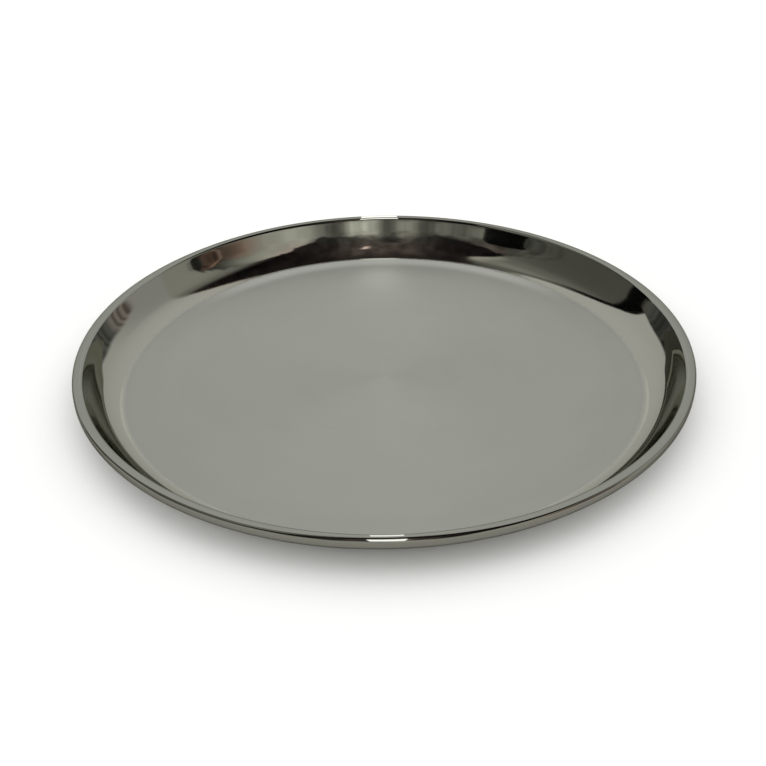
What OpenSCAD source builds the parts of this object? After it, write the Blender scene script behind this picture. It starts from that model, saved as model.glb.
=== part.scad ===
// Thali plate: one round pressing of thin stainless sheet whose edge is rolled round a wire.
// The plate stands on its flat floor at z = 0 and opens upwards. Lengths are in millimetres.

/* [Plate] */
// Outside diameter over the rolled rim
plate_d = 280; // [200:5:360]
// Overall height from the surface the plate stands on to the crest of the rim
plate_h = 17.2; // [16:0.2:28]

/* [Sheet] */
// Thickness of the steel sheet
sheet_t = 0.6; // [0.4:0.1:1.0]

/* [Wall] */
// Radius of the eating face where the floor turns up into the wall
fillet_r = 14; // [8:1:16]
// Slope at which the fillet runs out into the wall, in degrees
fillet_angle = 50; // [45:1:52]
// Slope of the wall where it meets the rim, in degrees
wall_angle = 60; // [58:1:70]
// Length of the straight band of wall just under the rim
wall_band = 5; // [2:0.5:5]

/* [Rolled rim] */
// Diameter of the wire inside the roll
wire_d = 4; // [2.5:0.1:5]
// Clearance between the wire and the sheet rolled round it
wire_gap = 0.05; // [0.03:0.01:0.1]
// Clearance between the cut edge of the sheet and the outside of the wall
edge_gap = 0.2; // [0.1:0.05:0.4]

/* [Smoothness] */
// Number of flats in each arc of the wall's profile
arc_steps = 16; // [8:1:24]
// Number of flats in the profile of the roll
roll_steps = 48; // [24:1:72]

/* [Hidden] */
$fn = 180;

// The roll: a wire, a clearance and the sheet's thickness, one outside the other
roll_in_r = wire_d / 2 + wire_gap;
roll_out_r = roll_in_r + sheet_t;
rim_centre = [plate_d / 2 - roll_out_r, plate_h - roll_out_r];
// The sheet turns until its cut edge is one clearance short of the wall that it came up
roll_turn = 360 - acos((roll_in_r - edge_gap) / roll_out_r);
roll_start = 90 + wall_angle;

// The wall, worked out from the rim down: a straight band, then a curve that takes up
// whatever height is left above the fillet and touches both of them without a kink
band_top = rim_centre + polar(roll_out_r, roll_start);
band_foot = band_top - polar(wall_band, wall_angle);
fillet_h = fillet_r * (1 - cos(fillet_angle));
curve_h = band_foot.y - sheet_t - fillet_h;
curve_r = curve_h / (cos(fillet_angle) - cos(wall_angle));
curve_centre = band_foot + polar(curve_r, roll_start);
fillet_top = curve_centre + polar(curve_r, fillet_angle - 90);
fillet_centre = fillet_top + polar(fillet_r, fillet_angle + 90);

// Point at a radius and an angle, angles counted from straight outwards
function polar(r, a) = [r * cos(a), r * sin(a)];

// Points along an arc
function arc(centre, r, from, to, steps) =
    [for (i = [0 : steps]) centre + polar(r, from + (to - from) * i / steps)];

// Profile of the sheet at a depth under its eating face, from the plate's axis to the cut edge
function face(depth) = concat(
    [[0, sheet_t - depth]],
    arc(fillet_centre, fillet_r + depth, -90, fillet_angle - 90, arc_steps),
    arc(curve_centre, curve_r + depth, fillet_angle - 90, wall_angle - 90, arc_steps),
    arc(rim_centre, roll_out_r - depth, roll_start, roll_start - roll_turn, roll_steps)
);

function reversed(points) = [for (i = [len(points) - 1 : -1 : 0]) points[i]];

// Sheet pressed to a dish, one thickness throughout, with its edge rolled outwards and under
module plate_pressing() {
    color("silver")
        rotate_extrude()
            polygon(concat(face(0), reversed(face(sheet_t))));
}

// Round wire closed to a ring inside the roll
module rim_wire() {
    color("darkgray")
        rotate_extrude()
            translate(rim_centre)
                circle(d = wire_d, $fn = roll_steps);
}

plate_pressing();
rim_wire();
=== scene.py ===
import math
from collections import namedtuple

import bpy
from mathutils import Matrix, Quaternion, Vector


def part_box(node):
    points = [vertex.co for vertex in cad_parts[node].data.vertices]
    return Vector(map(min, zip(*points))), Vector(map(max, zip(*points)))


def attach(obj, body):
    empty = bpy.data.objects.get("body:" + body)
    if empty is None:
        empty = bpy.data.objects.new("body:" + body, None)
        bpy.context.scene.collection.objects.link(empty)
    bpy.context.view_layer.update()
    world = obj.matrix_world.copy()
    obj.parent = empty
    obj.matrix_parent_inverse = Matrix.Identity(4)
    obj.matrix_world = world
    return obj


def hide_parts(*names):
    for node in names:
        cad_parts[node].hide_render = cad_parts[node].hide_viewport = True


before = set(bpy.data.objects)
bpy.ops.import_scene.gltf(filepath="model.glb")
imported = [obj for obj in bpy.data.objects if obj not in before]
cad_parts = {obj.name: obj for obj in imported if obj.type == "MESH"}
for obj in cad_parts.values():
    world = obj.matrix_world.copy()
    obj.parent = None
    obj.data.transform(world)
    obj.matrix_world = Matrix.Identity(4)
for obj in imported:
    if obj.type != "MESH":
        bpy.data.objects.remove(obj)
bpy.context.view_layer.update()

bl_info = {
    "name": "Thali Plate",
    "version": (1, 0, 0),
    "blender": (4, 5, 0),
    "location": "3D View > Sidebar > Thali",
    "description": "Dresses a pressed steel thali plate with its polished and satin finishes",
    "category": "Object",
}

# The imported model's own sizes
SHEET_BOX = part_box("plate_pressing")
WIRE_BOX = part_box("rim_wire")
RIM_RADIUS = SHEET_BOX[1][0]
PLATE_HEIGHT = SHEET_BOX[1][2]
BEAD_HEIGHT = (WIRE_BOX[1][2] + WIRE_BOX[0][2]) / 2
BEAD_RADIUS = PLATE_HEIGHT - BEAD_HEIGHT

# Distances under this count as one point when seams are closed
WELD = 0.000002

# Steps along each stretch of the sheet's profile
FILLET_STEPS = 36
CURVE_STEPS = 10
BAND_STEPS = 4
INNER_CORNER_STEPS = 10
CREST_STEPS = 8
OUTER_CORNER_STEPS = 14
ROLL_STEPS = 30

# Distances past the floor's edge where the buffing starts, the mirror starts, and both are full
BUFF_START = 0.0004
MIRROR_START = 0.0008
BUFF_FULL = 0.0026

# The table lies this far under the plate, so that the two faces never coincide
TABLE_GAP = 0.0001
TABLE_TONES = ((0.80, 0.80, 0.79, 1), (0.82, 0.82, 0.81, 1))
# Painted shade: the darker colour the table takes where polished steel mirrors it, standing in for dimmer
# light on it
TABLE_SHADE_IN_MIRROR = (0.30, 0.29, 0.27, 1)

# Lamps that light table and floor: name, place, side and watts
SOFT_LAMPS = (
    ("soft_top", Vector((0.0, -0.1, 1.6)), 1.8, 5.0),
    ("soft_left", Vector((-1.4, -0.9, 1.2)), 1.0, 2.0),
)

# Cards that make the glints: name, place, point on the rim, width, height, radiance, half spread in degrees
GLINT_CARDS = (
    ("glint_back", Vector((-0.001, 0.157, 0.0245)), Vector((-0.001, 0.1375, 0.0172)), 0.020, 0.015, 2.6, 35),
    ("glint_corner", Vector((-0.001, 0.1365, 0.0228)), Vector((-0.001, 0.136, 0.0168)), 0.02, 0.005, 3.0, 20),
    ("glint_front", Vector((0.0, -0.143, 0.039)), Vector((0.0, -0.139, 0.0165)), 0.017, 0.038, 2.2, 50),
    ("glint_crest", Vector((0.0, -0.108, 0.031)), Vector((0.0, -0.1375, 0.0172)), 0.013, 0.010, 1.3, 35),
)

# The studio that the polished steel mirrors. A direction is given by x, its part to the side from -1 to 1,
# and by its degrees over: 0 straight ahead, 90 straight up and 180 straight behind. The curves are pairs of
# x and a brightness or share where their name ends in LEVEL or SHARE, and of x and degrees over elsewhere.
# Only the flag's middle goes by the place aside among its streaks, and not by x.
ROOM_LEVEL = (
    (-1, 0.08), (-0.9, 0.085), (-0.75, 0.105), (-0.6, 0.15), (-0.45, 0.18), (-0.3, 0.24), (-0.15, 0.14),
    (0.45, 0.03), (0.55, 0.055), (0.65, 0.15), (0.75, 0.21), (0.85, 0.27), (1, 0.25))
FLAG_FOOT = (
    (-1, 180), (-0.72, 150), (-0.66, 118), (-0.6, 111.5), (-0.5, 102.5), (-0.4, 95.5), (-0.3, 88.5),
    (-0.25, 83), (-0.2, 76), (-0.15, 68.5), (-0.1, 60), (-0.05, 52), (0, 46), (0.1, 48), (1, 48))
FLAG_TOP = (
    (-1, 112), (-0.6, 118), (-0.55, 126), (-0.45, 133), (-0.35, 138), (-0.25, 137), (-0.15, 127), (-0.1, 124),
    (0, 128), (0.1, 134), (0.2, 138), (0.35, 138), (0.42, 131), (0.5, 122), (0.6, 112), (1, 100))
FLAG_MIDDLE_LEVEL = (
    (-1, 0), (-0.3, 0), (-0.22, 0.01), (-0.15, 0.035), (-0.05, 0.055), (0.03, 0.07), (0.12, 0.05),
    (0.2, 0.012), (0.3, 0), (1, 0))
UPPER_LEVEL = (
    (-1, 0.12), (-0.7, 0.20), (-0.55, 0.19), (-0.45, 0.11), (-0.35, 0.12), (-0.25, 0.12), (-0.15, 0.23),
    (-0.05, 0.08), (0, 0.17), (0.04, 0.27), (0.09, 0.43), (0.16, 0.41), (0.21, 0.30), (0.27, 0.11),
    (0.35, 0.10), (0.41, 0.22), (0.47, 0.35), (0.55, 0.33), (0.64, 0.30), (0.70, 0.24), (0.76, 0.16),
    (0.82, 0.07), (0.88, 0.03), (1, 0.03))
BACKDROP_TOP = (
    (-1, 0), (-0.86, 0), (-0.82, 12), (-0.80, 30), (-0.78, 42), (-0.7, 51), (-0.6, 55.5), (-0.45, 58.5),
    (-0.3, 58.5), (-0.18, 57), (-0.1, 53), (0, 45), (0.08, 51), (0.15, 55.5), (0.25, 60), (0.35, 63),
    (0.45, 65.5), (0.6, 67), (0.8, 67), (1, 67))
BACKDROP_LEVEL = ((-1, 0.45), (0.6, 0.45), (0.75, 0.38), (0.88, 0.30), (1, 0.3))
BACKDROP_FOOT = (
    (-1, 20), (-0.9, 19), (-0.8, 16.5), (-0.75, 15), (-0.64, 8), (-0.54, 3), (-0.44, 0), (0.44, 0), (0.55, 3),
    (0.64, 9), (0.72, 13), (0.8, 21), (0.87, 24), (1, 24))
BLACK_BAND_TOP = (
    (-1, 20), (-0.9, 30), (-0.87, 38), (-0.84, 44), (-0.8, 50), (-0.75, 54), (-0.7, 57.5), (-0.6, 62),
    (-0.45, 65), (-0.3, 65), (0, 60), (1, 60))
BLACK_BAND_SHARE = (
    (-1, 0), (-0.94, 0.1), (-0.90, 1), (-0.5, 1), (-0.4, 0.7), (-0.25, 0.35), (-0.1, 0), (1, 0))
LOW_ROOM_LEVEL = (
    (-1, 0.2), (-0.87, 0.15), (-0.8, 0.08), (-0.75, 0.045), (-0.65, 0.038), (-0.58, 0.015), (-0.4, 0.02),
    (0.5, 0.08), (0.6, 0.09), (0.7, 0.07), (0.8, 0.14), (0.9, 0.13), (1, 0.2))
SIDE_WALL_LEVEL = 0.45
BACK_WALL_LEVEL = 0.4

# A faint lamp ahead, a small spot overhead and a thin streak. Each has its degrees over from and to, its x
# from and to, and its brightness.
STUDIO_LAMPS = (
    (27.0, 33.0, -0.045, 0.045, 0.1),
    (101.0, 113.0, 0.058, 0.082, 0.75),
    (109.0, 124.0, 0.850, 0.852, 0.4),
)

# Tints of the studio's parts
ROOM_TINT = (1, 1, 0.88, 1)
BACKDROP_TINT = (1, 1, 0.95, 1)
FLAG_TINT = (1.2, 0.94, 0.86, 1)
BROWN_TINT = (1.35, 0.88, 0.66, 1)

# Plain light for everything that isn't polished, and the backdrop that the camera sees
PLAIN_LIGHT = (1.15, 1.15, 1.14, 1)
SEEN_BACKDROP = (0.92, 0.92, 0.91, 1)

PlateCoordinates = namedtuple("PlateCoordinates", "place z radius east north")


class ThaliSheetSettings(bpy.types.PropertyGroup):
    """Sizes of the pressed sheet"""

    sheet_t: bpy.props.FloatProperty(
        name="Sheet thickness", description="Thickness of the steel", default=0.0006, unit="LENGTH")
    fillet_r: bpy.props.FloatProperty(
        name="Fillet radius", description="Radius where the floor turns up", default=0.014, unit="LENGTH")
    fillet_angle: bpy.props.FloatProperty(
        name="Fillet slope", description="Slope where the fillet runs into the wall",
        default=math.radians(50), subtype="ANGLE")
    wall_angle: bpy.props.FloatProperty(
        name="Wall slope", description="Slope of the wall at the rim",
        default=math.radians(60), subtype="ANGLE")
    wall_band: bpy.props.FloatProperty(
        name="Straight band", description="Straight stretch of wall under the rim",
        default=0.005, unit="LENGTH")
    crest_r: bpy.props.FloatProperty(
        name="Crest radius", description="Radius of the rim's flattened crest", default=0.007, unit="LENGTH")
    crest_slope: bpy.props.FloatProperty(
        name="Crest slope", description="Slope at which the flat crest gives way to its corners",
        default=math.radians(10), subtype="ANGLE")
    corner_r: bpy.props.FloatProperty(
        name="Inner corner radius", description="Radius where the wall turns over into the crest",
        default=0.0018, unit="LENGTH")
    edge_gap: bpy.props.FloatProperty(
        name="Cut edge gap", description="Gap between the cut edge and the wall's outside",
        default=0.0002, unit="LENGTH")
    around: bpy.props.IntProperty(
        name="Steps around", description="Steps of the spin round the plate's axis", default=288)
    floor_rings: bpy.props.IntProperty(
        name="Floor rings", description="Rings across the flat floor", default=14)


class ThaliFinishSettings(bpy.types.PropertyGroup):
    """Colours and polish of the steel"""

    steel: bpy.props.FloatVectorProperty(
        name="Polished steel", description="Colour of the polished wall and rim",
        default=(0.62, 0.62, 0.56), subtype="COLOR")
    # Painted shade: the polished steel turns darker from the top of the wall, in the corner under the rim,
    # and stays darker over the whole rim
    crest: bpy.props.FloatVectorProperty(
        name="Crest", description="Colour of the rim's crest", default=(0.47, 0.48, 0.44), subtype="COLOR")
    satin: bpy.props.FloatVectorProperty(
        name="Satin steel", description="Colour of the satin floor",
        default=(0.332, 0.341, 0.307), subtype="COLOR")
    rings: bpy.props.FloatVectorProperty(
        name="Broad rings", description="Colour of the broad polishing rings on the floor",
        default=(0.46, 0.47, 0.43), subtype="COLOR")
    scratches: bpy.props.FloatVectorProperty(
        name="Scratches", description="Colour of the short scratches on the floor",
        default=(0.62, 0.62, 0.58), subtype="COLOR")
    specks: bpy.props.FloatVectorProperty(
        name="Specks", description="Colour of the small dark specks on the floor",
        default=(0.16, 0.15, 0.13), subtype="COLOR")
    # Painted highlight: a lighter colour along the floor's back edge that stands in for light reflected there
    painted_edge_highlight: bpy.props.FloatVectorProperty(
        name="Painted edge highlight", description="Colour of the lighter satin along the floor's back edge",
        default=(0.60, 0.61, 0.57), subtype="COLOR")
    underside: bpy.props.FloatVectorProperty(
        name="Underside", description="Colour of the sheet's outside",
        default=(0.44, 0.45, 0.42), subtype="COLOR")
    wire: bpy.props.FloatVectorProperty(
        name="Wire", description="Colour of the drawn wire", default=(0.36, 0.35, 0.33), subtype="COLOR")
    wire_spots: bpy.props.FloatVectorProperty(
        name="Wire spots", description="Colour of the dark spots on the wire",
        default=(0.16, 0.13, 0.10), subtype="COLOR")
    mirror_rough: bpy.props.FloatProperty(
        name="Mirror roughness", description="Roughness of the buffed wall and rim",
        default=0.045, subtype="FACTOR")
    fillet_rough: bpy.props.FloatProperty(
        name="Fillet roughness", description="Roughness at the foot of the fillet",
        default=0.24, subtype="FACTOR")
    satin_rough: bpy.props.FloatProperty(
        name="Satin roughness", description="Roughness of the floor", default=0.36, subtype="FACTOR")
    underside_rough: bpy.props.FloatProperty(
        name="Underside roughness", description="Least roughness of the sheet's outside",
        default=0.26, subtype="FACTOR")


class ThaliStageSettings(bpy.types.PropertyGroup):
    """Camera and table"""

    camera_elevation: bpy.props.FloatProperty(
        name="Camera elevation", description="Height of the camera above the rim's plane",
        default=math.radians(32.409), subtype="ANGLE")
    camera_distance: bpy.props.FloatProperty(
        name="Camera distance", description="From the aim point to the camera", default=0.56, unit="LENGTH")
    camera_roll: bpy.props.FloatProperty(
        name="Camera roll", description="Tilt of the frame", default=math.radians(-1.025), subtype="ANGLE")
    camera_lens: bpy.props.FloatProperty(
        name="Lens", description="Focal length on a 36 mm sensor", default=59.9)
    aim: bpy.props.FloatVectorProperty(
        name="Aim", description="Point the camera looks at, from the middle of the rim",
        default=(-0.00052, -0.02838, 0.0), subtype="XYZ")
    table_size: bpy.props.FloatProperty(
        name="Table size", description="Side of the pale table", default=60.0, unit="LENGTH")


# Modelling helpers

def clear_selection():
    """Leave edit mode with nothing selected"""
    if bpy.context.object and bpy.context.object.mode != "OBJECT":
        bpy.ops.object.mode_set(mode="OBJECT")
    bpy.ops.object.select_all(action="DESELECT")


def piece_mesh(piece):
    """The piece's mesh, ready to be read after edit mode"""
    bpy.ops.object.mode_set(mode="OBJECT")
    return piece.data


def select_whole_mesh():
    """Enter edit mode with everything selected"""
    bpy.ops.object.mode_set(mode="EDIT")
    bpy.ops.mesh.select_all(action="SELECT")


def select_last_point(piece):
    """Select only the free end of the profile that is being drawn"""
    mesh = piece_mesh(piece)
    for vertex in mesh.vertices:
        vertex.select = False
    mesh.vertices[len(mesh.vertices) - 1].select = True
    bpy.ops.object.mode_set(mode="EDIT")
    bpy.ops.mesh.select_mode(type="VERT")


def draw_line(piece, step, times=1):
    """Extend the profile by straight steps"""
    for _ in range(times):
        select_last_point(piece)
        bpy.ops.mesh.extrude_region_move(TRANSFORM_OT_translate={"value": step})


def draw_arc(piece, centre, turn, steps):
    """Extend the profile by an arc in the XZ plane, turning up from the floor when positive"""
    select_last_point(piece)
    bpy.ops.mesh.spin(steps=steps, angle=turn, center=centre, axis=(0, 1, 0))


def last_point(piece):
    """Place of the profile's free end"""
    mesh = piece_mesh(piece)
    return mesh.vertices[len(mesh.vertices) - 1].co.copy()


# Node helpers

def new_material(name):
    """A material with an empty node tree and its output and shader"""
    material = bpy.data.materials.new(name)
    material.use_nodes = True
    tree = material.node_tree
    tree.nodes.clear()
    output = tree.nodes.new("ShaderNodeOutputMaterial")
    shader = tree.nodes.new("ShaderNodeBsdfPrincipled")
    tree.links.new(shader.outputs["BSDF"], output.inputs["Surface"])
    return material, tree, shader


def plug(tree, socket, value):
    """Link a socket to a node's output, or set it"""
    if isinstance(value, bpy.types.NodeSocket):
        tree.links.new(value, socket)
    else:
        socket.default_value = value


def solid(colour, factor=1.0):
    """An opaque colour, made lighter or darker by a factor"""
    return (*[part * factor for part in colour], 1)


def math_node(tree, operation, first, second=0.0, clamp=False):
    """Result of one Math node"""
    node = tree.nodes.new("ShaderNodeMath")
    node.operation = operation
    node.use_clamp = clamp
    plug(tree, node.inputs[0], first)
    plug(tree, node.inputs[1], second)
    return node.outputs[0]


def product(tree, *values):
    """All values multiplied"""
    result = values[0]
    for value in values[1:]:
        result = math_node(tree, "MULTIPLY", result, value)
    return result


def total(tree, *values):
    """All values added"""
    result = values[0]
    for value in values[1:]:
        result = math_node(tree, "ADD", result, value)
    return result


def minus(tree, first, second):
    """First value less the second"""
    return math_node(tree, "SUBTRACT", first, second)


def ramp(tree, value, low, high, to_low=0.0, to_high=1.0):
    """Smooth step of a value from one level to another"""
    node = tree.nodes.new("ShaderNodeMapRange")
    node.interpolation_type = "SMOOTHSTEP"
    plug(tree, node.inputs["Value"], value)
    node.inputs["From Min"].default_value = low
    node.inputs["From Max"].default_value = high
    node.inputs["To Min"].default_value = to_low
    node.inputs["To Max"].default_value = to_high
    return node.outputs["Result"]


def above(tree, value, edge, soft):
    """Smooth 0 to 1 as a value passes an edge; edge and softness may vary"""
    return ramp(tree, math_node(tree, "DIVIDE", minus(tree, value, edge), soft), -1.0, 1.0)


def curve(tree, value, points, highest):
    """A smooth curve through pairs of a value from -1 to 1 and a result from 0 to the highest"""
    place = tree.nodes.new("ShaderNodeMapRange")
    plug(tree, place.inputs["Value"], value)
    place.inputs["From Min"].default_value = -1.0
    node = tree.nodes.new("ShaderNodeFloatCurve")
    tree.links.new(place.outputs["Result"], node.inputs["Value"])
    track = node.mapping.curves[0]
    spots = [((at + 1) / 2, result / highest) for at, result in points]
    track.points[0].location = spots[0]
    track.points[1].location = spots[-1]
    for spot in spots[1:-1]:
        track.points.new(*spot)
    node.mapping.update()
    return product(tree, node.outputs["Value"], highest)


def level_at(tree, x, points):
    """Brightness along one of the studio's curves"""
    return curve(tree, x, points, 1.0)


def degrees_at(tree, x, points):
    """Degrees over along one of the studio's curves"""
    return curve(tree, x, points, 180.0)


def blend_value(tree, factor, first, second):
    """First value where the factor is 0, second where it is 1"""
    node = tree.nodes.new("ShaderNodeMix")
    node.data_type = "FLOAT"
    plug(tree, node.inputs[0], factor)
    plug(tree, node.inputs[2], first)
    plug(tree, node.inputs[3], second)
    return node.outputs[0]


def blend_colour(tree, factor, first, second):
    """First colour where the factor is 0, second where it is 1"""
    node = tree.nodes.new("ShaderNodeMix")
    node.data_type = "RGBA"
    plug(tree, node.inputs[0], factor)
    plug(tree, node.inputs[6], first)
    plug(tree, node.inputs[7], second)
    return node.outputs[2]


def combine(tree, x, y, z):
    """Vector of three values"""
    node = tree.nodes.new("ShaderNodeCombineXYZ")
    for socket, value in zip(node.inputs, (x, y, z)):
        plug(tree, socket, value)
    return node.outputs[0]


def separate(tree, vector):
    """The three values of a vector"""
    node = tree.nodes.new("ShaderNodeSeparateXYZ")
    tree.links.new(vector, node.inputs[0])
    return node.outputs


def noise(tree, vector, scale, detail=2.0, rough=0.5):
    """Noise from 0 to 1"""
    node = tree.nodes.new("ShaderNodeTexNoise")
    plug(tree, node.inputs["Vector"], vector)
    node.inputs["Scale"].default_value = scale
    node.inputs["Detail"].default_value = detail
    node.inputs["Roughness"].default_value = rough
    return node.outputs["Fac"]


def cell_distance(tree, vector, scale):
    """Distance from the nearest of many scattered points"""
    node = tree.nodes.new("ShaderNodeTexVoronoi")
    node.inputs["Scale"].default_value = scale
    tree.links.new(vector, node.inputs["Vector"])
    return node.outputs["Distance"]


def bump(tree, height, strength, distance, under=None):
    """Normal bent by a height, on top of another bump where one is given"""
    node = tree.nodes.new("ShaderNodeBump")
    node.inputs["Strength"].default_value = strength
    node.inputs["Distance"].default_value = distance
    plug(tree, node.inputs["Height"], height)
    if under is not None:
        tree.links.new(under, node.inputs["Normal"])
    return node.outputs["Normal"]


def plate_coordinates(tree):
    """Object place, height, radius from the plate's axis, and the seamless direction from the axis"""
    place = tree.nodes.new("ShaderNodeTexCoord").outputs["Object"]
    x, y, z = separate(tree, place)
    radius = math_node(tree, "SQRT", total(tree, product(tree, x, x), product(tree, y, y)))
    safe = math_node(tree, "MAXIMUM", radius, 0.001)
    east = math_node(tree, "DIVIDE", x, safe)
    north = math_node(tree, "DIVIDE", y, safe)
    return PlateCoordinates(place, z, radius, east, north)


def ring_vector(tree, plate, across, along):
    """Coordinates that vary fast across the polishing direction and slowly along it"""
    path = total(tree, plate.radius, product(tree, plate.z, 0.7))
    around = (product(tree, plate.east, along), product(tree, plate.north, along))
    return combine(tree, product(tree, path, across), *around)


# Finishes

def hairlines(tree, place, runs):
    """Sparse short scratches: each run is a turn in radians, an offset and the share of lines that show"""
    result = 0.0
    for turn, offset, share in runs:
        turned = tree.nodes.new("ShaderNodeMapping")
        turned.inputs["Rotation"].default_value = (0, 0, turn)
        turned.inputs["Location"].default_value = (offset, -offset, 0)
        turned.inputs["Scale"].default_value = (14.0, 260.0, 1.0)
        tree.links.new(place, turned.inputs["Vector"])
        thin = ramp(tree, cell_distance(tree, turned.outputs["Vector"], 1.0), 0.0, 0.05, 1.0, 0.0)
        picked = ramp(tree, noise(tree, place, 11.0 + 9.0 * offset), share + 0.1, share + 0.16)
        result = math_node(tree, "MAXIMUM", product(tree, thin, picked), result)
    return result


def satin_colour(tree, finish, plate, smudge, broad_rings, floor_r):
    """Smudged satin with faint rings, scratches and specks, and a painted highlight along the back edge"""
    satin = blend_colour(tree, smudge, solid(finish.satin, 0.93), solid(finish.satin, 1.06))
    satin = blend_colour(tree, product(tree, broad_rings, 0.12), satin, solid(finish.rings))
    scratches = hairlines(tree, plate.place, ((0.5, 0.30, 0.46), (-0.35, 0.26, 0.31), (1.15, 0.34, 0.72)))
    satin = blend_colour(tree, product(tree, scratches, 0.22), satin, solid(finish.scratches))
    dots = ramp(tree, cell_distance(tree, plate.place, 34.0), 0.012, 0.02, 1.0, 0.0)
    specks = product(tree, dots, ramp(tree, noise(tree, plate.place, 25.0), 0.56, 0.6))
    satin = blend_colour(tree, product(tree, specks, 0.45), satin, solid(finish.specks))
    # Painted highlight: the satin is made lighter along the floor's back edge
    near_edge = ramp(tree, plate.radius, floor_r - 0.008, floor_r - 0.001)
    painted_edge_highlight = product(tree, near_edge, ramp(tree, plate.north, 0.55, 0.9, 0.04, 0.8))
    return blend_colour(tree, painted_edge_highlight, satin, solid(finish.painted_edge_highlight))


def steel_sheet_material(finish, floor_r, rim_r):
    """Buffed wall and rim, satin floor and a plainer underside, all on one sheet"""
    material, tree, shader = new_material("polished_steel_sheet")
    plate = plate_coordinates(tree)

    # The satin floor gives way to the buffed fillet, which turns to a mirror a little further up
    buffed = ramp(tree, plate.radius, floor_r + BUFF_START, floor_r + BUFF_FULL)
    mirror_share = ramp(tree, plate.radius, floor_r + MIRROR_START, floor_r + BUFF_FULL)
    # Painted shade: this mask darkens the steel from the top of the wall, where it turns into the rim, and on
    # over the rim
    crest = ramp(tree, plate.radius, rim_r - 0.0002, rim_r + 0.0006)
    attribute = tree.nodes.new("ShaderNodeAttribute")
    attribute.attribute_name = "underside"
    under = attribute.outputs["Fac"]

    # Marks of the polishing wheel run round the plate
    fine_rings = noise(tree, ring_vector(tree, plate, 900.0, 6.0), 1.0, 3.0, 0.6)
    broad_rings = noise(tree, ring_vector(tree, plate, 90.0, 1.5), 1.0)
    waves = noise(tree, ring_vector(tree, plate, 45.0, 9.0), 1.0)
    smudge = noise(tree, plate.place, 18.0, 4.0, 0.6)
    grain = noise(tree, plate.place, 3500.0, 2.0, 0.6)

    satin = satin_colour(tree, finish, plate, smudge, broad_rings, floor_r)
    mirror = blend_colour(tree, broad_rings, solid(finish.steel, 0.97), solid(finish.steel))
    # Painted shade: the darker colour in the corner under the rim and over the rim
    mirror = blend_colour(tree, product(tree, crest, 0.8), mirror, solid(finish.crest))
    colour = blend_colour(tree, buffed, satin, mirror)
    plug(tree, shader.inputs["Base Color"], blend_colour(tree, under, colour, solid(finish.underside)))

    # Seen almost along the surface, the satin turns to a mirror
    facing = tree.nodes.new("ShaderNodeLayerWeight").outputs["Facing"]
    steep = ramp(tree, facing, 0.68, 0.92, 1.0, 0.0)
    satin_rough = total(
        tree, finish.satin_rough - 0.04, product(tree, grain, 0.04), product(tree, smudge, 0.04))
    satin_rough = product(tree, satin_rough, total(tree, product(tree, steep, 0.7), 0.3))
    mirror_rough = total(
        tree, finish.mirror_rough - 0.015, product(tree, fine_rings, 0.02), product(tree, smudge, 0.02))
    wall_rough = blend_value(tree, mirror_share, finish.fillet_rough, mirror_rough)
    top_rough = blend_value(tree, buffed, satin_rough, wall_rough)
    under_rough = total(tree, product(tree, fine_rings, 0.12), finish.underside_rough)
    plug(tree, shader.inputs["Roughness"], blend_value(tree, under, top_rough, under_rough))
    dull_floor = product(tree, minus(tree, 1.0, buffed), steep, 0.55)
    dull = math_node(tree, "MAXIMUM", dull_floor, product(tree, under, 0.6))
    plug(tree, shader.inputs["Metallic"], minus(tree, 1.0, dull))

    # The brushing lies round the plate, so reflections spread across it
    shader.inputs["Anisotropic"].default_value = 0.6
    shader.inputs["Specular Tint"].default_value = (0.45, 0.45, 0.42, 1)
    around = combine(tree, product(tree, plate.north, -1.0), plate.east, 0.0)
    plug(tree, shader.inputs["Tangent"], around)
    waved = bump(tree, waves, 0.35, 0.00006)
    plug(tree, shader.inputs["Normal"], bump(tree, fine_rings, 0.12, 0.000004, waved))
    return material


def drawn_wire_material(finish):
    """Dull drawn wire with lines along its length and a few dark spots"""
    material, tree, shader = new_material("drawn_wire_steel")
    plate = plate_coordinates(tree)
    lines = noise(tree, ring_vector(tree, plate, 4000.0, 3.0), 1.0)
    spots = ramp(tree, noise(tree, plate.place, 260.0, 3.0), 0.56, 0.72)
    base = blend_colour(tree, lines, solid(finish.wire, 0.85), solid(finish.wire))
    plug(tree, shader.inputs["Base Color"], blend_colour(tree, spots, base, solid(finish.wire_spots)))
    shader.inputs["Metallic"].default_value = 1.0
    rough = total(tree, product(tree, lines, 0.15), 0.32, product(tree, spots, 0.2))
    plug(tree, shader.inputs["Roughness"], rough)
    plug(tree, shader.inputs["Normal"], bump(tree, lines, 0.3, 0.00001))
    return material


def table_material(foot_r):
    """Plain pale table with the faintest unevenness, painted darker where polished steel mirrors it"""
    material, tree, shader = new_material("pale_table")
    plate = plate_coordinates(tree)
    pale = blend_colour(tree, noise(tree, plate.place, 3.0, 3.0), *TABLE_TONES)
    # Painted shade: seen in the polished steel, the table takes a darker colour that stands in for dimmer
    # light on it
    mirrored = tree.nodes.new("ShaderNodeLightPath").outputs["Is Glossy Ray"]
    plug(tree, shader.inputs["Base Color"], blend_colour(tree, mirrored, pale, TABLE_SHADE_IN_MIRROR))
    shader.inputs["Roughness"].default_value = 0.9
    shader.inputs["Specular IOR Level"].default_value = 0.0

    # Clear from beneath and open under the plate's flat floor, so that the underside can be looked at
    beyond = math_node(tree, "GREATER_THAN", plate.radius, foot_r)
    beneath = tree.nodes.new("ShaderNodeNewGeometry").outputs["Backfacing"]
    plug(tree, shader.inputs["Alpha"], math_node(tree, "SUBTRACT", beyond, beneath, clamp=True))
    return material


# The pressed sheet

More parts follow.
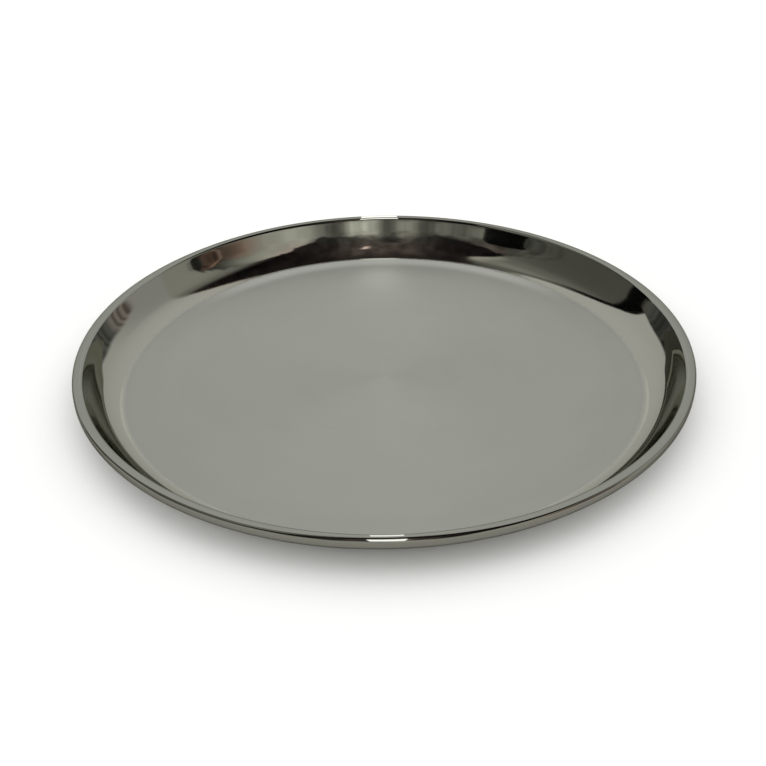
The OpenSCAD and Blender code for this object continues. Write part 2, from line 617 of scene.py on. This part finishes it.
def wall_profile(size, rim):
    """Fillet, curve and band, worked out from the rim down as on the solid"""
    up_wall = Vector((math.cos(size.wall_angle), 0, math.sin(size.wall_angle)))
    out_of_wall = Vector((-math.sin(size.wall_angle), 0, math.cos(size.wall_angle)))
    band_top = rim + out_of_wall * BEAD_RADIUS
    band_foot = band_top - up_wall * size.wall_band
    fillet_h = size.fillet_r * (1 - math.cos(size.fillet_angle))
    curve_h = band_foot.z - size.sheet_t - fillet_h
    curve_r = curve_h / (math.cos(size.fillet_angle) - math.cos(size.wall_angle))
    curve_centre = band_foot + out_of_wall * curve_r
    out_of_fillet = Vector((-math.sin(size.fillet_angle), 0, math.cos(size.fillet_angle)))
    fillet_top = curve_centre - out_of_fillet * curve_r
    fillet_centre = fillet_top + out_of_fillet * size.fillet_r
    return fillet_centre, curve_centre, band_top, up_wall


def crest_profile(size, rim, band_top):
    """The roll pressed a little flat on top: a crest of large radius between two tight corners"""
    crest_z = BEAD_RADIUS - size.crest_r * (1 - math.cos(size.crest_slope))
    half_crest = size.crest_r * math.sin(size.crest_slope)
    corner_x = size.corner_r * (math.sin(size.wall_angle) - math.sin(size.crest_slope))
    corner_z = size.corner_r * (math.cos(size.crest_slope) - math.cos(size.wall_angle))
    over_band = (rim.z + crest_z - corner_z - band_top.z) / math.sin(size.wall_angle)
    crest_in = band_top.x + over_band * math.cos(size.wall_angle) + corner_x - rim.x
    crest_out = crest_in + 2 * half_crest
    outer_r = (BEAD_RADIUS - crest_out) / (1 - math.sin(size.crest_slope))
    lean = Vector((math.sin(size.crest_slope), 0, math.cos(size.crest_slope)))
    inner_centre = rim + Vector((crest_in, 0, crest_z)) + size.corner_r * Vector((lean.x, 0, -lean.z))
    crest_centre = rim + Vector((crest_in + half_crest, 0, BEAD_RADIUS - size.crest_r))
    outer_centre = rim + Vector((crest_out, 0, crest_z)) - outer_r * lean
    return inner_centre, crest_centre, outer_centre, over_band


def draw_eating_face(size, rim):
    """One point on the axis that grows into the profile of the sheet's eating face"""
    fillet_centre, curve_centre, band_top, up_wall = wall_profile(size, rim)
    inner_centre, crest_centre, outer_centre, over_band = crest_profile(size, rim, band_top)
    roll_in_r = BEAD_RADIUS - size.sheet_t
    roll_turn = 2 * math.pi - math.acos((roll_in_r - size.edge_gap) / BEAD_RADIUS)
    roll_end = math.pi / 2 + size.wall_angle - roll_turn

    clear_selection()
    bpy.ops.mesh.primitive_plane_add(size=size.sheet_t, location=(0, 0, size.sheet_t))
    piece = bpy.context.object
    select_whole_mesh()
    bpy.ops.mesh.merge(type="CENTER")
    piece_mesh(piece)
    bpy.ops.object.transform_apply(location=True, rotation=True, scale=True)
    draw_line(piece, (fillet_centre.x / size.floor_rings, 0, 0), size.floor_rings)
    draw_arc(piece, fillet_centre, size.fillet_angle, FILLET_STEPS)
    draw_arc(piece, curve_centre, size.wall_angle - size.fillet_angle, CURVE_STEPS)
    draw_line(piece, up_wall * ((size.wall_band + over_band) / BAND_STEPS), BAND_STEPS)
    draw_arc(piece, inner_centre, size.crest_slope - size.wall_angle, INNER_CORNER_STEPS)
    draw_arc(piece, crest_centre, -2 * size.crest_slope, CREST_STEPS)
    draw_arc(piece, outer_centre, size.crest_slope - math.pi / 2, OUTER_CORNER_STEPS)
    draw_line(piece, (0, 0, rim.z - outer_centre.z))
    draw_arc(piece, rim, roll_end, ROLL_STEPS)

    end = last_point(piece)
    expected = rim + BEAD_RADIUS * Vector((math.cos(roll_end), 0, math.sin(roll_end)))
    if (end - expected).length > WELD * 10:
        raise RuntimeError(f"the profile ends at {end}, not at {expected}")
    return piece, fillet_centre.x, band_top.x


def spin_profile(piece, steps):
    """Full spin of the profile, seam and pole closed, normals up out of the eating face"""
    select_whole_mesh()
    bpy.ops.mesh.spin(steps=steps, angle=2 * math.pi, center=(0, 0, 0), axis=(0, 0, 1))
    bpy.ops.mesh.select_all(action="SELECT")
    bpy.ops.mesh.remove_doubles(threshold=WELD)
    mesh = piece_mesh(piece)
    floor_face = min(mesh.polygons, key=lambda face: face.center.xy.length)
    if floor_face.normal.z < 0:
        select_whole_mesh()
        bpy.ops.mesh.flip_normals()
        piece_mesh(piece)


def thicken_sheet(piece, sheet_t):
    """Give the eating face the sheet's thickness, under and outside it"""
    thickness = piece.modifiers.new("sheet", "SOLIDIFY")
    thickness.thickness = sheet_t
    thickness.offset = -1
    thickness.use_even_offset = True
    bpy.ops.object.modifier_apply(modifier=thickness.name)
    bpy.ops.object.shade_smooth_by_angle(angle=math.radians(40))


def mark_underside(mesh, roll_in):
    """Mark the outside of floor and wall, up to the roll, which keeps a plainer satin"""
    below = mesh.attributes.new("underside", "FLOAT", "FACE")
    for face, mark in zip(mesh.polygons, below.data):
        mark.value = float(face.normal.z < -0.1 and face.center.xy.length < roll_in)


class THALI_OT_press_sheet(bpy.types.Operator):
    """Draw the sheet's profile, spin it round the plate's axis and give it its thickness"""

    bl_idname = "thali.press_sheet"
    bl_label = "Press the sheet"

    def execute(self, context):
        size = context.scene.thali_sheet
        rim = Vector((RIM_RADIUS - BEAD_RADIUS, 0, BEAD_HEIGHT))
        piece, floor_r, rim_r = draw_eating_face(size, rim)
        piece.name = "polished_sheet"
        spin_profile(piece, size.around)
        thicken_sheet(piece, size.sheet_t)
        mark_underside(piece.data, rim.x - BEAD_RADIUS)
        piece.data.materials.append(steel_sheet_material(context.scene.thali_finish, floor_r, rim_r))
        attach(piece, "root")
        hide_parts("plate_pressing")
        return {"FINISHED"}


class THALI_OT_finish_wire(bpy.types.Operator):
    """Give the wire inside the roll its drawn steel"""

    bl_idname = "thali.finish_wire"
    bl_label = "Finish the wire"

    def execute(self, context):
        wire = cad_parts["rim_wire"]
        wire.data.materials.clear()
        wire.data.materials.append(drawn_wire_material(context.scene.thali_finish))
        return {"FINISHED"}


# The studio

def room_light(tree, x, over, flag_foot):
    """Plain room beside and above the backdrop, with a glow along the flag's edge"""
    glow = product(
        tree, above(tree, over, minus(tree, flag_foot, 5.0), 4.0), ramp(tree, x, -0.62, -0.5),
        ramp(tree, x, -0.25, -0.15, 1.0, 0.0))
    return total(tree, level_at(tree, x, ROOM_LEVEL), product(tree, glow, 0.16))


def flag_light(tree, over, aside, streaks):
    """Dark flag with a paler streaked middle"""
    middle = product(
        tree, level_at(tree, aside, FLAG_MIDDLE_LEVEL), ramp(tree, over, 50.0, 95.0, 0.3, 1.0),
        ramp(tree, streaks, 0.3, 0.7, 0.5, 1.5))
    return total(tree, middle, ramp(tree, streaks, 0.35, 0.75, 0.006, 0.02))


def upper_light(tree, x, over, streaks, cloud):
    """Light patches over the dark flag"""
    fading = total(tree, over, ramp(tree, x, 0.3, 0.6, 0.0, 27.0))
    ripple = product(tree, ramp(tree, cloud, 0.3, 0.7, 0.6, 1.4), ramp(tree, streaks, 0.3, 0.7, 0.7, 1.3))
    ripple = blend_value(tree, ramp(tree, x, 0.3, 0.45, 0.0, 0.75), ripple, 1.0)
    return product(tree, level_at(tree, x, UPPER_LEVEL), ripple, ramp(tree, fading, 131.0, 144.0, 0.4, 1.25))


def black_band(tree, x, over):
    """Share of the black band that edges the backdrop"""
    inside = minus(tree, 1.0, above(tree, over, degrees_at(tree, x, BLACK_BAND_TOP), 2.0))
    return product(tree, inside, level_at(tree, x, BLACK_BAND_SHARE), ramp(tree, over, 15.0, 19.0))


def backdrop_light(tree, x, over_foot):
    """Pale backdrop, with the streaked low room under its foot"""
    streaks = noise(tree, combine(tree, product(tree, x, 34.0), 0.0, 0.0), 1.0, 3.0, 0.6)
    low_room = product(tree, level_at(tree, x, LOW_ROOM_LEVEL), ramp(tree, streaks, 0.35, 0.65, 0.45, 1.7))
    return blend_value(tree, over_foot, low_room, level_at(tree, x, BACKDROP_LEVEL))


def from_middle(tree, x, over, middle, half_size, powers):
    """Distance from the middle of a rounded patch of the studio, 1 about its edge"""
    aside = math_node(tree, "DIVIDE", minus(tree, x, middle[0]), half_size[0])
    along = math_node(tree, "DIVIDE", minus(tree, over, middle[1]), half_size[1])
    return total(tree, math_node(tree, "POWER", aside, powers[0]), math_node(tree, "POWER", along, powers[1]))


def small_lamp(tree, x, over, low, high, left, right, brightness):
    """Light of one small lamp with soft edges"""
    between = product(
        tree, ramp(tree, over, low - 1, low + 1), ramp(tree, over, high - 1, high + 1, 1.0, 0.0))
    across = product(
        tree, ramp(tree, x, left - 0.01, left + 0.01), ramp(tree, x, right - 0.01, right + 0.01, 1.0, 0.0))
    return product(tree, between, across, brightness)


def studio_tint(tree, x, over, in_flag, in_backdrop, over_foot, brown):
    """Tint of each direction: pale room and backdrop, warm brown-black flag and brown stains"""
    outside = minus(tree, 1.0, in_backdrop)
    warmth = product(tree, in_flag, ramp(tree, over, 118.0, 140.0, 1.0, 0.0), outside)
    low_brown = product(tree, ramp(tree, x, 0.74, 0.82, 0.0, 0.7), minus(tree, 1.0, over_foot), 0.5)
    high_brown = product(tree, ramp(tree, x, 0.66, 0.8), ramp(tree, over, 116.0, 124.0, 0.0, 0.8))
    stain = math_node(tree, "MAXIMUM", math_node(tree, "MAXIMUM", brown, high_brown), low_brown)
    tint = blend_colour(tree, in_backdrop, ROOM_TINT, BACKDROP_TINT)
    return blend_colour(tree, stain, blend_colour(tree, warmth, tint, FLAG_TINT), BROWN_TINT)


def surroundings(world):
    """Soft studio round the plate: a pale backdrop ahead, dark flags over it and small lamps"""
    world.use_nodes = True
    tree = world.node_tree
    tree.nodes.clear()
    output = tree.nodes.new("ShaderNodeOutputWorld")
    background = tree.nodes.new("ShaderNodeBackground")
    tree.links.new(background.outputs["Background"], output.inputs["Surface"])
    x, y, z = separate(tree, tree.nodes.new("ShaderNodeTexCoord").outputs["Generated"])
    over = product(tree, math_node(tree, "ARCTAN2", z, y), 180 / math.pi)

    # Streaks that fan out over the flag, and soft clouds
    flag_height = math_node(tree, "MAXIMUM", minus(tree, over, 45.0), 2.0)
    aside = product(tree, math_node(tree, "DIVIDE", x, flag_height), 55.0)
    streak_vector = combine(tree, product(tree, aside, 22.0), product(tree, over, 0.02), 0.0)
    streaks = noise(tree, streak_vector, 1.0, 3.0, 0.6)
    cloud_vector = combine(tree, product(tree, x, 9.0), product(tree, over, 0.09), 0.0)
    cloud = noise(tree, cloud_vector, 1.0, 3.0, 0.55)

    # The room, the dark flag in front of it, and light patches over the flag's ragged top
    flag_foot = degrees_at(tree, x, FLAG_FOOT)
    in_flag = product(tree, above(tree, over, flag_foot, 1.5), ramp(tree, x, 0.47, 0.62, 1.0, 0.0))
    room = room_light(tree, x, over, flag_foot)
    light = blend_value(tree, in_flag, room, flag_light(tree, over, aside, streaks))
    ragged_top = total(tree, degrees_at(tree, x, FLAG_TOP), ramp(tree, streaks, 0.3, 0.7, -3.0, 3.0))
    over_flag = above(tree, over, ragged_top, 2.0)
    light = blend_value(tree, over_flag, light, upper_light(tree, x, over, streaks, cloud))

    # Backdrop ahead, edged on one side by a black band
    light = product(tree, light, minus(tree, 1.0, product(tree, black_band(tree, x, over), 0.97)))
    over_foot = above(tree, over, degrees_at(tree, x, BACKDROP_FOOT), ramp(tree, x, 0.5, 0.8, 1.5, 4.0))
    in_backdrop = above(tree, degrees_at(tree, x, BACKDROP_TOP), over, ramp(tree, x, 0.45, 0.6, 1.2, 3.0))
    light = blend_value(tree, in_backdrop, light, backdrop_light(tree, x, over_foot))

    # Ragged black patch high on one side and a brown one far to the other
    black_height = total(tree, 153.5, product(tree, x, 30.0))
    from_black = total(
        tree, from_middle(tree, x, over, (-0.69, black_height), (0.09, 5.5), (6.0, 4.0)),
        ramp(tree, streaks, 0.35, 0.65, -0.5, 0.5))
    light = product(tree, light, ramp(tree, from_black, 0.8, 1.2, 0.02, 1.0))
    from_brown = from_middle(tree, x, over, (0.865, 113.0), (0.035, 10.0), (2.0, 2.0))
    brown = ramp(tree, from_brown, 0.7, 1.3, 1.0, 0.0)
    light = blend_value(tree, brown, light, product(tree, ramp(tree, cloud, 0.4, 0.6, 0.4, 1.6), 0.05))

    # Pale walls far to both sides and behind the camera, and the lamps
    beside = ramp(tree, math_node(tree, "ABSOLUTE", x), 0.968, 0.98)
    light = blend_value(tree, beside, light, SIDE_WALL_LEVEL)
    light = blend_value(tree, ramp(tree, over, 149.0, 156.0), light, BACK_WALL_LEVEL)
    for lamp in STUDIO_LAMPS:
        light = total(tree, light, small_lamp(tree, x, over, *lamp))
    mirrored = tree.nodes.new("ShaderNodeVectorMath")
    mirrored.operation = "SCALE"
    tint = studio_tint(tree, x, over, in_flag, in_backdrop, over_foot, brown)
    tree.links.new(tint, mirrored.inputs[0])
    plug(tree, mirrored.inputs["Scale"], light)

    # Only polished metal sees the lamps and flags; everything else gets plain pale light
    ray = tree.nodes.new("ShaderNodeLightPath")
    plain = blend_colour(tree, ray.outputs["Is Camera Ray"], PLAIN_LIGHT, SEEN_BACKDROP)
    shown = blend_colour(tree, ray.outputs["Is Glossy Ray"], plain, mirrored.outputs[0])
    plug(tree, background.inputs["Color"], shown)
    background.inputs["Strength"].default_value = 1.0


def lay_table(size):
    """Pale table under the plate's flat floor"""
    clear_selection()
    bpy.ops.mesh.primitive_plane_add(size=size, location=(0, 0, -TABLE_GAP))
    table = bpy.context.object
    table.name = "stage_table"
    bpy.ops.object.mode_set(mode="EDIT")
    bpy.ops.mesh.subdivide(number_cuts=3)
    bpy.ops.object.mode_set(mode="OBJECT")
    points = bpy.data.objects["polished_sheet"].data.vertices
    foot_r = max(point.co.xy.length for point in points if point.co.z < WELD)
    table.data.materials.append(table_material(foot_r))


def area_lamp(name, place, target, across, tall, watts):
    """Rectangular lamp that faces a point"""
    clear_selection()
    bpy.ops.object.light_add(type="AREA", location=place)
    lamp = bpy.context.object
    lamp.name = name
    lamp.data.shape = "RECTANGLE"
    lamp.data.size = across
    lamp.data.size_y = tall
    lamp.data.energy = watts
    lamp.rotation_mode = "QUATERNION"
    lamp.rotation_quaternion = (target - place).to_track_quat("-Z", "Y")
    return lamp


def hold_glint_card(name, place, target, across, tall, radiance, half_spread):
    """Small card close to the rim that only its polish sees"""
    half_spread = math.radians(half_spread)
    focus = math.tan(half_spread) / (math.tan(half_spread) - half_spread)
    card = area_lamp(name, place, target, across, tall, radiance * math.pi * across * tall / focus)
    card.data.spread = 2 * half_spread
    card.visible_diffuse = False
    card.visible_camera = False


def place_camera(stage):
    """Camera at the photograph's viewing angle"""
    aim = Vector((0, 0, BEAD_HEIGHT)) + Vector(stage.aim)
    away = Vector((0, -math.cos(stage.camera_elevation), math.sin(stage.camera_elevation)))
    roll = Quaternion((0, 0, 1), stage.camera_roll)
    clear_selection()
    bpy.ops.object.camera_add(location=aim + away * stage.camera_distance)
    camera = bpy.context.object
    camera.name = "camera"
    camera.rotation_mode = "QUATERNION"
    camera.rotation_quaternion = (-away).to_track_quat("-Z", "Y") @ roll
    camera.data.sensor_fit = "HORIZONTAL"
    camera.data.sensor_width = 36.0
    camera.data.lens = stage.camera_lens
    camera.data.clip_start = 0.01
    bpy.context.scene.camera = camera


class THALI_OT_set_stage(bpy.types.Operator):
    """Lay the pale table, light it softly and place the camera"""

    bl_idname = "thali.set_stage"
    bl_label = "Set the stage"

    def execute(self, context):
        stage = context.scene.thali_stage
        lay_table(stage.table_size)
        context.scene.world = bpy.data.worlds.new("studio")
        surroundings(context.scene.world)
        for name, place, side, watts in SOFT_LAMPS:
            lamp = area_lamp(name, place, Vector((0, 0, 0)), side, side, watts)
            lamp.visible_glossy = False
        for card in GLINT_CARDS:
            hold_glint_card(*card)
        place_camera(stage)
        context.scene.view_settings.view_transform = "Standard"
        return {"FINISHED"}


class THALI_PT_panel(bpy.types.Panel):
    """Sizes, finishes and stage of the thali plate"""

    bl_idname = "THALI_PT_panel"
    bl_label = "Thali Plate"
    bl_space_type = "VIEW_3D"
    bl_region_type = "UI"
    bl_category = "Thali"

    def draw(self, context):
        layout = self.layout
        for title, group in (
            ("Sheet", context.scene.thali_sheet),
            ("Finish", context.scene.thali_finish),
            ("Stage", context.scene.thali_stage),
        ):
            box = layout.box()
            box.label(text=title)
            for name in group.bl_rna.properties.keys():
                if name not in {"rna_type", "name"}:
                    box.prop(group, name)
        for operator in (THALI_OT_press_sheet, THALI_OT_finish_wire, THALI_OT_set_stage):
            layout.operator(operator.bl_idname)


CLASSES = (
    ThaliSheetSettings,
    ThaliFinishSettings,
    ThaliStageSettings,
    THALI_OT_press_sheet,
    THALI_OT_finish_wire,
    THALI_OT_set_stage,
    THALI_PT_panel,
)


def register():
    for item in CLASSES:
        bpy.utils.register_class(item)
    bpy.types.Scene.thali_sheet = bpy.props.PointerProperty(type=ThaliSheetSettings)
    bpy.types.Scene.thali_finish = bpy.props.PointerProperty(type=ThaliFinishSettings)
    bpy.types.Scene.thali_stage = bpy.props.PointerProperty(type=ThaliStageSettings)


def unregister():
    del bpy.types.Scene.thali_sheet
    del bpy.types.Scene.thali_finish
    del bpy.types.Scene.thali_stage
    for item in reversed(CLASSES):
        bpy.utils.unregister_class(item)


def main():
    register()
    bpy.ops.thali.press_sheet()
    bpy.ops.thali.finish_wire()
    bpy.ops.thali.set_stage()


if __name__ == "__main__":
    main()
